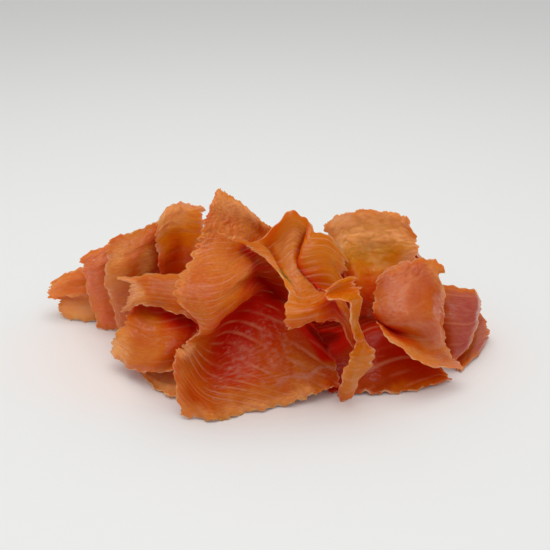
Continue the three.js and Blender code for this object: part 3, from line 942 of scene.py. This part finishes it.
add_slice(
    "lower_left_slice",
    rails=[
        [(-48, 5, 20), (-50, -5, 16), (-54, -9, 11), (-55, -11, 6)],
        [(-41, 3, 20), (-41, -10, 16), (-45, -18, 11), (-49, -18, 4)],
        [(-33, 0, 19), (-33, -14, 16), (-35, -24, 13), (-41, -25, 6)],
        [(-24, -4, 17), (-25, -15, 14), (-27, -23, 11), (-32, -28, 8)],
    ],
    ripple=(0.4, 2, 1),
    seed=9,
    lines=(4, 0.2, 0.0, 0.3),
    flesh=ORANGE_FLESH,
    blush=ORANGE_BLUSH,
    tears=(0.3, 0.5, 0.8, 0.3),
    folds=(3, 0.5, 6.0),
    ledges=[(0.45, 0.35)],
    marbling=0.25,
    film=2.0,
    patches=[(0.0, 0.9, 10, 14, -1.2)],
    shades=[(0.25, 0.2, 8, 7, -0.4), (0.6, 0.25, 6, 6, 0.5)],
    smears_and_sheen=[(0.6, 0.5, 10, 8, 0.5)],
)


# ---------------------------------------------------------------------------------------
# The slice under the left side, pressed flat on the table by what lies on it. Only its outer
# rim shows. Its flesh is painted pale pink, with no painted shade, as light as if the slices over
# it cast none.

add_slice(
    "under_left_slice",
    rails=[
        [(-50, 6, 1.1), (-46, -4, 1.1), (-43, -11, 1.1), (-45, -15, 1.1)],
        [(-44, 20, 1.1), (-40, 6, 1.1), (-37, -10, 1.1), (-40, -24, 1.1)],
        [(-26, 22, 1.1), (-26, 8, 1.1), (-29, -12, 1.1), (-35, -30, 1.1)],
        [(-14, 18, 1.1), (-15, 3, 1.1), (-19, -14, 1.1), (-30, -34, 1.1)],
    ],
    ripple=(0.1, 2, 1),
    seed=10,
    lines=(4, 0.1, 0.1, 0.1),
    flesh=(1.0, 0.36, 0.11),
    blush=(1.0, 0.3, 0.08),
    depth=0.0,
    patches=[(0.5, 0.95, 30, 12, -0.5)],
)


# ---------------------------------------------------------------------------------------
# The ribbon: a strip of thin amber flesh, about 6 mm wide. It curls open at the top, beside
# the lip of the folded slice, and twists down to the table.

add_slice(
    "ribbon_slice",
    rails=[
        [
            (22, -30, 42), (18, -39, 41), (26, -37, 38), (27, -35, 29),
            (29, -35, 23), (27, -37, 18), (25, -38, 13), (24, -32, 0.7),
        ],
        [
            (25, -25, 41), (23, -31, 39), (28, -32, 37), (29, -33, 28),
            (31, -34, 23), (30, -36, 17), (28, -37, 11), (25, -34, 0.7),
        ],
        [
            (29, -21, 40), (30, -23, 37), (31, -28, 36), (30, -31, 28),
            (33, -31, 21), (36, -32, 16), (32, -34, 10), (28, -34, 0.7),
        ],
    ],
    ripple=(0.2, 3, 1),
    seed=11,
    lines=(4, 0.3, 0.3, 0.1),
    flesh=(0.52, 0.165, 0.008),
    blush=(0.48, 0.128, 0.004),
    tears=(0.15, 0.3, 0.1, 0.1),
    frill=0.05,
    marbling=0.25,
    film=1.0,
    thin=8.0,
    shades=[(0.66, 0.18, 9, 10, 0.9), (0.56, 0.6, 9, 9, 0.6)],
)


# ---------------------------------------------------------------------------------------
# The back lobe: the palest slice, cut so thin that its wrinkles show as veins. It stands
# behind the right side, held by the slices in front of it.

add_slice(
    "back_lobe_slice",
    rails=[
        [(20, 12, 46), (23, 9, 39), (27, 6, 31), (30, 1, 22), (31, 1, 14)],
        [(28, 16, 49), (29, 13, 41), (31, 6, 34), (33, -3, 25), (34, -2, 16)],
        [(39, 19, 49), (38, 16, 41), (37, 9, 32), (37, -3, 24), (39, -2, 16.5)],
        [(48, 17, 48), (47, 15, 41), (45, 9, 32), (42, 0, 23), (43, -1, 15)],
        [(51, 13, 48), (54, 10, 41), (54, 5, 36), (50, 2, 24), (48, 1, 14)],
    ],
    ripple=(0.5, 3, 1),
    seed=12,
    lines=(3.2, 0.1, 0.1, 0.4),
    flesh=(0.71, 0.34, 0.085),
    blush=(0.63, 0.235, 0.022),
    tears=(0.55, 0.3, 0.3, 0.4),
    bites=[(TOP, 36, 1.5, 1.6)],
    frill=0.35,
    ledges=[(0.33, 0.4), (0.6, 0.35)],
    crumples=[(0.5, 0.3, 22, 10, 0.45)],
    marbling=0.12,
    veins=0.45,
    film=7.0,
    thin=5.0,
    patches=[(0.45, 0.12, 24, 12, -1.1), (0.4, 0.9, 14, 6, 0.3)],
    shades=[(0.4, 0.68, 22, 6, 0.5), (0.7, 0.9, 14, 6, -0.5)],
)


# ---------------------------------------------------------------------------------------
# The petal: a broad leaf of pink flesh with an amber rim, darkened by painted shade along its
# rolled foot, one corner torn out. It leans out to the right over the base slice, its lower rim
# rolled up.

add_slice(
    "petal_slice",
    rails=[
        [(38, -10, 35), (37, -14, 30), (36, -20, 27), (38, -18, 23), (37, -23, 24)],
        [(44, -5, 37), (43, -16, 33), (41, -25, 26), (43, -23, 21), (40, -29, 22)],
        [(51, -2, 38), (49, -14, 34), (47, -26, 27), (49, -24, 19), (46, -32, 18)],
        [(57, -1, 38), (56, -11, 32), (54, -22, 25), (56, -22, 15), (53, -31, 12)],
        [(62, -2, 36), (62, -8, 25), (61, -15, 17), (63, -17, 10.5), (67, -25, 7.5)],
    ],
    ripple=(0.3, 2, 1),
    seed=13,
    lines=(5, 0.5, 0.4, 0.2),
    flesh=(0.58, 0.14, 0.046),
    blush=(0.52, 0.098, 0.03),
    tears=(0.6, 0.3, 0.25, 0.6),
    bites=[(RIGHT, 4.5, 2.4, 3.4)],
    folds=(3, 0.4, 6.0),
    ledges=[(0.16, 0.35)],
    crumples=[(0.5, 0.12, 16, 6, 0.5)],
    marbling=0.22,
    film=1.0,
    thin=7.0,
    patches=[(0.5, 1.0, 30, 5, -0.5), (0.3, 0.35, 12, 10, -0.15), (0.9, 0.1, 8, 6, -0.5)],
    shades=[(0.88, 0.4, 8, 12, 0.9), (0.55, 0.36, 8, 8, 0.3), (0.44, 0.88, 20, 4, 0.8)],
    # Spread fat, and painted glints on the top rim and on the tip of the rolled rim.
    smears_and_sheen=[(0.25, 0.3, 14, 12, 0.5), (0.2, 0.0, 10, 2.5, 2.2), (1.0, 0.95, 7, 6, 2.2)],
)


# ---------------------------------------------------------------------------------------
# The right base slice: the deepest red flesh of the heap, with a patch of deep painted shade in
# a hollow. It lies on the table under the petal and the ribbon, arched a little where it shows
# between them.

add_slice(
    "right_base_slice",
    rails=[
        [(-10, 30, 1.1), (-8, 14, 1.3), (-5, -2, 1.5), (2, -16, 1.1)],
        [(2, 34, 1.1), (4, 16, 2.0), (9, 0, 2.5), (13, -21, 0.9)],
        [(20, 34, 1.1), (22, 16, 4), (24, -5, 6), (23, -29, 0.7)],
        [(36, 30, 1.1), (37, 14, 8), (38, -8, 13), (37, -30, 0.7)],
        [(47, 22, 1.1), (49, 8, 6), (50, -9, 10), (50, -28, 0.7)],
        [(54, 8, 1.1), (56, -2, 4), (61, -13, 2), (64, -21, 0.7)],
    ],
    ripple=(0.3, 1, 3),
    seed=14,
    lines=(5, 0.3, 0.3, 0.1),
    flesh=(0.44, 0.052, 0.006),
    blush=(0.38, 0.036, 0.005),
    tears=(0.3, 0.15, 0.2, 0.3),
    marbling=0.45,
    shades=[(0.34, 0.6, 11, 9, 3.4), (0.55, 0.45, 8, 8, -0.8)],
    smears_and_sheen=[(0.5, 0.85, 12, 6, 0.5)],
)


# ---------------------------------------------------------------------------------------
# The pink right slice: dusky pink flesh. It comes out from behind the petal and bends over
# at the right end.

add_slice(
    "pink_right_slice",
    rails=[
        [(61, 6, 25), (61, 1, 19), (61, -5, 12), (63, -12, 4)],
        [(69, 8, 23), (68, 0, 19), (66, -8, 13), (65, -15, 5)],
        [(76, 10, 21), (74, 1, 17), (71, -6, 11), (67, -13, 5)],
        [(79, 12, 16), (78, 6, 14), (75, -2, 10), (72, -8, 6)],
    ],
    ripple=(0.3, 2, 1),
    seed=15,
    lines=(4, 0.2, 0.3, 0.3),
    flesh=(0.47, 0.095, 0.058),
    blush=(0.41, 0.07, 0.048),
    marbling=0.3,
    smears_and_sheen=[(0.5, 0.4, 12, 10, 0.3)],
)


# ---------------------------------------------------------------------------------------
# The end slice: dusky pink flesh with a torn right rim, the last at the right. It lies low,
# with its foot on the table.

add_slice(
    "pink_end_slice",
    rails=[
        [(71, 10, 4), (70, 2, 2.2), (67, -14, 0.7)],
        [(76, 12, 7), (75, 4, 3), (70, -13, 0.7)],
        [(79, 13, 10), (79, 7, 5), (76, -4, 0.7)],
        [(82, 13, 7), (83, 9, 4), (82, 7, 0.7)],
    ],
    ripple=(0.2, 2, 1),
    seed=16,
    lines=(4, 0.3, 0.3, 0.2),
    flesh=(0.48, 0.13, 0.1),
    blush=(0.42, 0.09, 0.075),
    tears=(0.3, 0.5, 0.3, 0.7),
    film=1.2,
    patches=[(0.8, 0.5, 8, 12, -0.2)],
)


# ---------------------------------------------------------------------------------------
# The back left slice: orange flesh with a wavy foot. It leans on the heap from behind and
# closes the left half of the back.

add_slice(
    "back_left_slice",
    rails=[
        [(-66, 39, 19), (-63, 45, 12), (-66, 47, 0.3)],
        [(-56, 38, 25), (-52, 42, 18), (-54, 53, 0.3)],
        [(-43, 37, 32), (-42, 46, 21), (-43, 46, 0.3)],
        [(-33, 32, 37), (-33, 37, 24), (-32, 44, 0.3)],
    ],
    ripple=(0.9, 1, 2),
    seed=17,
    lines=(4, 0.1, 0.1, 0.1),
    flesh=ORANGE_FLESH,
    blush=ORANGE_BLUSH,
    tears=(0.5, 0.6, 0.8, 0.8),
    folds=(3, 0.6, 8.0),
    ledges=[(0.5, 0.35)],
    crumples=[(0.5, 0.4, 16, 10, 0.5)],
    marbling=0.4,
    patches=[(0.4, 0.4, 12, 9, 0.5), (0.5, 0.97, 22, 6, -0.7)],
    smears_and_sheen=[(0.4, 0.5, 12, 10, 0.6)],
)


# ---------------------------------------------------------------------------------------
# The back centre slice: orange flesh, the largest of the three at the back. It runs down in
# folds from behind the tip to the table.

add_slice(
    "back_centre_slice",
    rails=[
        [(-24, 27, 36), (-31, 42, 24), (-37, 50, 10), (-40, 52, 0.3)],
        [(-18, 18, 46), (-20, 36, 33), (-22, 50, 15), (-24, 56, 0.3)],
        [(-12, 15, 50), (-8, 29, 37), (-7, 42, 18), (-8, 50, 0.3)],
        [(-7, 18, 44), (1, 35, 33), (8, 49, 16), (10, 56, 0.3)],
        [(-1, 22, 37), (10, 34, 27), (20, 46, 13), (27, 54, 0.3)],
    ],
    ripple=(1.0, 1, 2),
    seed=18,
    lines=(4.5, 0.1, 0.1, 0.2),
    flesh=ORANGE_FLESH,
    blush=ORANGE_BLUSH,
    tears=(0.5, 0.6, 0.9, 0.9),
    folds=(6, 0.6, 10.0),
    ledges=[(0.4, 0.35), (0.75, 0.3)],
    crumples=[(0.3, 0.3, 18, 14, 0.5), (0.7, 0.7, 18, 14, 0.5)],
    marbling=0.5,
    patches=[(0.25, 0.6, 10, 14, 0.6), (0.7, 0.4, 10, 12, 0.5), (0.5, 0.98, 40, 7, -0.8)],
    smears_and_sheen=[(0.3, 0.6, 14, 14, 0.6), (0.7, 0.35, 12, 12, 0.6)],
)


# ---------------------------------------------------------------------------------------
# The inner slice: dusky red flesh that shows only in the hollow under the folded slice, where
# painted shade turns it deep red. It stands there and closes the hollow to the back.

add_slice(
    "inner_slice",
    rails=[
        [(-2, 18, 35), (-3, 18, 24), (-5, 15, 5)],
        [(9, 20, 37), (13, 16, 26), (13, 10, 6)],
        [(21, 21, 31), (27, 14, 24), (27, 8, 9.5)],
        [(31, 19, 25), (38, 11, 21), (38, 6, 14.5)],
    ],
    ripple=(0.4, 1, 2),
    seed=19,
    lines=(4, 0.1, 0.1, 0.2),
    flesh=(0.48, 0.095, 0.04),
    blush=(0.42, 0.07, 0.035),
)


# ---------------------------------------------------------------------------------------
# The back right slice: orange flesh in shallow waves. It leans on the heap from behind and
# closes the right half of the back.

add_slice(
    "back_right_slice",
    rails=[
        [(11, 24, 40), (17, 35, 26), (19, 44, 0.3)],
        [(19, 26, 34), (28, 41, 24), (33, 50, 0.3)],
        [(31, 26, 40), (42, 35, 26), (46, 42, 0.3)],
        [(44, 26, 41), (54, 36, 24), (63, 43, 0.3)],
        [(55, 22, 35), (65, 27, 16), (75, 32, 0.3)],
    ],
    ripple=(1.0, 1, 3),
    seed=20,
    lines=(4.5, 0.1, 0.1, 0.1),
    flesh=ORANGE_FLESH,
    blush=ORANGE_BLUSH,
    tears=(0.5, 0.6, 0.8, 0.8),
    folds=(5, 0.6, 9.0),
    ledges=[(0.45, 0.35)],
    crumples=[(0.3, 0.4, 18, 12, 0.5), (0.8, 0.5, 16, 10, 0.4)],
    marbling=0.45,
    patches=[(0.3, 0.35, 12, 10, 0.6), (0.75, 0.5, 12, 8, 0.5), (0.5, 0.98, 40, 6, -0.7)],
    smears_and_sheen=[(0.3, 0.5, 14, 10, 0.6), (0.75, 0.6, 12, 8, 0.6)],
)


# ---------------------------------------------------------------------------------------
# The side slice: plain pink flesh, small and almost flat. It stands on the table at the right flank
# and fills the gap between the petal and the back.

add_slice(
    "side_right_slice",
    rails=[
        [(55, 16, 20), (57, 15, 11), (59, 10, 0.3)],
        [(63, 18, 20), (66, 18, 12), (68, 14, 0.3)],
        [(73, 20, 12), (74, 21, 8), (77, 20, 0.3)],
    ],
    ripple=(0.3, 1, 2),
    seed=21,
    lines=(4, 0.1, 0.1, 0.2),
    flesh=(0.57, 0.135, 0.046),
    blush=(0.51, 0.098, 0.038),
)


# ---------------------------------------------------------------------------------------
# The light inside the heap, painted as shade into the colour of the flesh. Light falls on a
# slice from above and off the table, and where slices crowd together it has come through flesh,
# so each place notes how open it lies.

# Rays start from the corners of cells this wide, just off the flesh, and look this far.
RAY_CELL = 2.5
RAY_LIFT = 0.5
RAY_REACH = 50.0
RAY_COUNT = 48
# A ray steeper down than this ends on the table.
RAY_LEVEL = -0.01
# The share of light that still comes from flesh at the end of a ray's reach.
FLESH_LIGHT = 0.35
# The white table gives back most of the light it gets, less close to the heap's foot.
TABLE_LIGHT_NEAR = 0.45
TABLE_LIGHT_GAIN = 0.4
TABLE_LIGHT_REACH = 12
# How much a patch of painted shade takes off.
SHADE_LOSS = 0.3


def coarse_sheet(laid):
    """Places and normals of a slice's middle, a grid of wide cells from top to foot."""
    down = np.linspace(0, 1, max(3, round(laid.length / RAY_CELL)))
    over = np.linspace(0, 1, max(3, round(laid.width / RAY_CELL)))
    along, across = (grid.ravel() for grid in np.meshgrid(down, over, indexing="ij"))
    shape = (len(down), len(over))
    return sheet_at(laid.rails, along, across), sheet_normals(laid.rails, along, across), shape


corners, cells = [], []
for laid in laid_slices:
    places, _, (down_count, over_count) = coarse_sheet(laid)
    first = len(corners) + over_count * np.arange(down_count - 1)[:, None] + np.arange(over_count - 1)
    ring = np.stack([first, first + 1, first + over_count + 1, first + over_count], axis=-1)
    cells.extend(ring.reshape(-1, 4).tolist())
    corners.extend(places.tolist())
crowd = BVHTree.FromPolygons(corners, cells)

# Rays spread evenly over the half sky of a face, denser near its normal.
spread = np.sqrt((np.arange(RAY_COUNT) + 0.5) / RAY_COUNT)
turn = np.arange(RAY_COUNT) * math.pi * (3 - math.sqrt(5))
rays = np.stack([spread * np.cos(turn), spread * np.sin(turn), np.sqrt(1 - spread**2)], axis=1)


def open_share(place, normal):
    """The share of full light that the rays from a place find."""
    askew = (0.31, 0.87, 0.38)
    side = np.cross(normal, askew)
    side /= np.linalg.norm(side)
    ways = rays @ np.stack([side, np.cross(normal, side), normal])
    start = Vector(place + RAY_LIFT * normal)
    light = 0.0
    for way in ways:
        distance = crowd.ray_cast(start, Vector(way), RAY_REACH)[3]
        to_table = -start[2] / way[2] if way[2] < RAY_LEVEL else RAY_REACH
        if distance is not None and distance < to_table:
            light += FLESH_LIGHT * distance / RAY_REACH
        elif to_table < RAY_REACH:
            light += TABLE_LIGHT_NEAR + TABLE_LIGHT_GAIN * min(to_table / TABLE_LIGHT_REACH, 1)
        else:
            light += 1.0
    return light / RAY_COUNT


for laid in laid_slices:
    places, normals, shape = coarse_sheet(laid)
    faces = [np.array([open_share(p, way * n) for p, n in zip(places, normals)]) for way in (1, -1)]
    both = np.stack(faces).reshape(2, *shape)
    # Each vertex takes its share of the four corners round it, on its own side of the slice.
    row = np.clip(laid.along, 0, 1) * (shape[0] - 1)
    column = np.clip(laid.across, 0, 1) * (shape[1] - 1)
    i = np.minimum(row.astype(int), shape[0] - 2)
    j = np.minimum(column.astype(int), shape[1] - 2)
    down, over = row - i, column - j
    near = both[laid.upper, i, j] * (1 - over) + both[laid.upper, i, j + 1] * over
    far = both[laid.upper, i + 1, j] * (1 - over) + both[laid.upper, i + 1, j + 1] * over
    set_marks(laid.mesh, "open", near * (1 - down) + far * down - SHADE_LOSS * laid.shade)


# ---------------------------------------------------------------------------------------
# The table: a plain white painted board, far wider than the heap, which lies loose on it.
# Close to the heap a warm glow is painted on the board, for the light that has passed through
# the flesh.

BOARD_WHITE = (0.86, 0.865, 0.85)
PAINTED_GLOW_WHITE = (0.92, 0.845, 0.805)
BOARD_SIZE = 8.0
# Half the length and depth of the oval of painted warm glow, and where that glow fades.
GLOW_LENGTH = 0.090
GLOW_DEPTH = 0.054
GLOW_EDGE = (0.75, 1.25)

bpy.ops.mesh.primitive_plane_add(size=BOARD_SIZE)
table = bpy.context.object
table.name = "table"
table_white = bpy.data.materials.new("table_white")
table_white.use_nodes = True
board = table_white.node_tree.nodes["Principled BSDF"]
board.inputs["Roughness"].default_value = 0.6
oval = add_node(table_white.node_tree, "ShaderNodeMapping")
oval.inputs["Scale"].default_value = (1 / GLOW_LENGTH, 1 / GLOW_DEPTH, 1.0)
feed(oval.inputs["Vector"], add_node(table_white.node_tree, "ShaderNodeTexCoord").outputs["Object"])
from_heap = add_node(table_white.node_tree, "ShaderNodeVectorMath", operation="LENGTH")
feed(from_heap.inputs["Vector"], oval.outputs["Vector"])
# The painted warm glow is strongest at the heap's middle.
painted_glow = fade(from_heap.outputs["Value"], *GLOW_EDGE)
feed(board.inputs["Base Color"], blend_colour(painted_glow, BOARD_WHITE, PAINTED_GLOW_WHITE))
table.data.materials.append(table_white)


# ---------------------------------------------------------------------------------------
# The light: one large soft box that hangs over the heap, and pale light from all round the
# room.

soft_box = bpy.data.lights.new("soft_box", "AREA")
soft_box.shape = "SQUARE"
soft_box.size = 0.6
soft_box.energy = 1.52
overhead = bpy.data.objects.new("soft_box", soft_box)
overhead.location = (-0.04, 0.04, 0.60)
overhead.rotation_euler = (math.radians(-4), math.radians(-4), 0)
bpy.context.scene.collection.objects.link(overhead)

room = bpy.data.worlds.new("room")
room.use_nodes = True
room.node_tree.nodes["Background"].inputs["Color"].default_value = (1.0, 1.0, 1.0, 1.0)
room.node_tree.nodes["Background"].inputs["Strength"].default_value = 0.71
# Wet flesh mirrors the soft box alone, as the room round it is too dim to show.
room.cycles_visibility.glossy = False
bpy.context.scene.world = room
bpy.context.scene.view_settings.view_transform = "Standard"


# ---------------------------------------------------------------------------------------
# The camera: a third of a metre in front of the heap and looking down on it a little, with
# a lens that takes in the heap and a hand's width of table on each side.

eye = bpy.data.cameras.new("eye")
eye.sensor_width = 36.0
eye.lens = 63.49
eye.clip_start = 0.01
eye.clip_end = 20.0
viewer = bpy.data.objects.new("eye", eye)
viewer.location = (0.0047, -0.3184, 0.1708)
viewer.rotation_euler = (math.radians(66), 0, 0)
bpy.context.scene.collection.objects.link(viewer)
bpy.context.scene.camera = viewer
